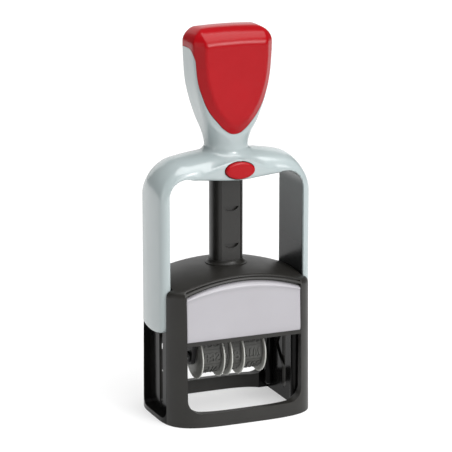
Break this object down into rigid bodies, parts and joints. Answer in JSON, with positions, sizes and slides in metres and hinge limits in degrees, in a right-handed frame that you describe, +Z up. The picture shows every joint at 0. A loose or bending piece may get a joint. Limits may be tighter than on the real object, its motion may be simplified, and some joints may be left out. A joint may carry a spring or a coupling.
{
  "type": "rotary date stamp",
  "caption": "Self-inking rotary date stamp: black base with arched top and leg channels, spring-returned grey yoke with grip, lock button, flip unit, date wheels and ink cassette.",
  "frame": {"origin": "middle of the bottom rim, on the resting plane", "axes": "+Z up along the guide column, -Y towards the front with the label panel, +X to the right seen from the front"},
  "size_m": [0.0696, 0.049, 0.168],
  "materials": {
    "black_plastic": "satin to gloss moulded",
    "dark_plastic": "satin moulded",
    "grey_plastic": "gloss grey-green",
    "red_plastic": "gloss red",
    "silver_panel": "satin silver",
    "steel": "zinc plated",
    "ink_foam": "inked felt",
    "die_rubber": "laser-cut rubber",
    "band_rubber": "dark rubber",
    "wheel_plastic": "light grey"
  },
  "bodies": {
    "base": {"base_frame": "black_plastic", "guide_column": "black_plastic", "column_screws": "steel", "front_label_panel": "silver_panel", "return_spring": "steel"},
    "ink_cassette": {"pad_cassette": "dark_plastic", "ink_pad": "ink_foam"},
    "handle": {"yoke": "grey_plastic", "grip_cap": "red_plastic", "plunger_rod": "steel", "rod_screw": "steel", "pivot_pin_left": "dark_plastic", "pivot_pin_right": "dark_plastic", "lock_spring": "steel"},
    "lock": {"lock_button": "red_plastic"},
    "flip_unit": {"die_holder": "dark_plastic", "cam_pin_left": "dark_plastic", "cam_pin_right": "dark_plastic", "die_cushion": "ink_foam", "text_plate": "die_rubber", "date_frame": "dark_plastic", "print_bar": "dark_plastic", "date_axle": "steel", "axle_clip_left": "dark_plastic", "axle_clip_right": "dark_plastic", "band_month": "band_rubber", "band_day_tens": "band_rubber", "band_day_units": "band_rubber", "band_year": "band_rubber"},
    "month_wheel": {"wheel_month": "wheel_plastic"},
    "day_tens_wheel": {"wheel_day_tens": "wheel_plastic"},
    "day_units_wheel": {"wheel_day_units": "wheel_plastic"},
    "year_wheel": {"wheel_year": "wheel_plastic"}
  },
  "joints": [
    {"name": "handle_press", "type": "slide", "parent": "base", "child": "handle", "axis": [0, 0, -1], "range_m": [0, 0.034], "stiffness_N_per_m": 250, "springref_m": -0.03, "deforming": ["return_spring"]},
    {"name": "unit_flip", "type": "hinge", "parent": "handle", "child": "flip_unit", "pos_m": [0, 0, 0.041], "axis": [1, 0, 0], "range_deg": [0, 180]},
    {"name": "lock_press", "type": "slide", "parent": "handle", "child": "lock", "axis": [0, 1, 0], "range_m": [0, 0.0026], "stiffness_N_per_m": 400, "springref_m": -0.002, "deforming": ["lock_spring"]},
    {"name": "cassette_slide", "type": "slide", "parent": "base", "child": "ink_cassette", "axis": [0, 1, 0], "range_m": [0, 0.036]},
    {"name": "month_turn", "type": "hinge", "parent": "flip_unit", "child": "month_wheel", "pos_m": [0, 0, 0.0245], "axis": [1, 0, 0], "continuous": true},
    {"name": "day_tens_turn", "type": "hinge", "parent": "flip_unit", "child": "day_tens_wheel", "pos_m": [0, 0, 0.0245], "axis": [1, 0, 0], "continuous": true},
    {"name": "day_units_turn", "type": "hinge", "parent": "flip_unit", "child": "day_units_wheel", "pos_m": [0, 0, 0.0245], "axis": [1, 0, 0], "continuous": true},
    {"name": "year_turn", "type": "hinge", "parent": "flip_unit", "child": "year_wheel", "pos_m": [0, 0, 0.0245], "axis": [1, 0, 0], "continuous": true}
  ],
  "couplings": [
    {"joint": "unit_flip", "follows": "handle_press", "rad_per_m": 92.39}
  ]
}
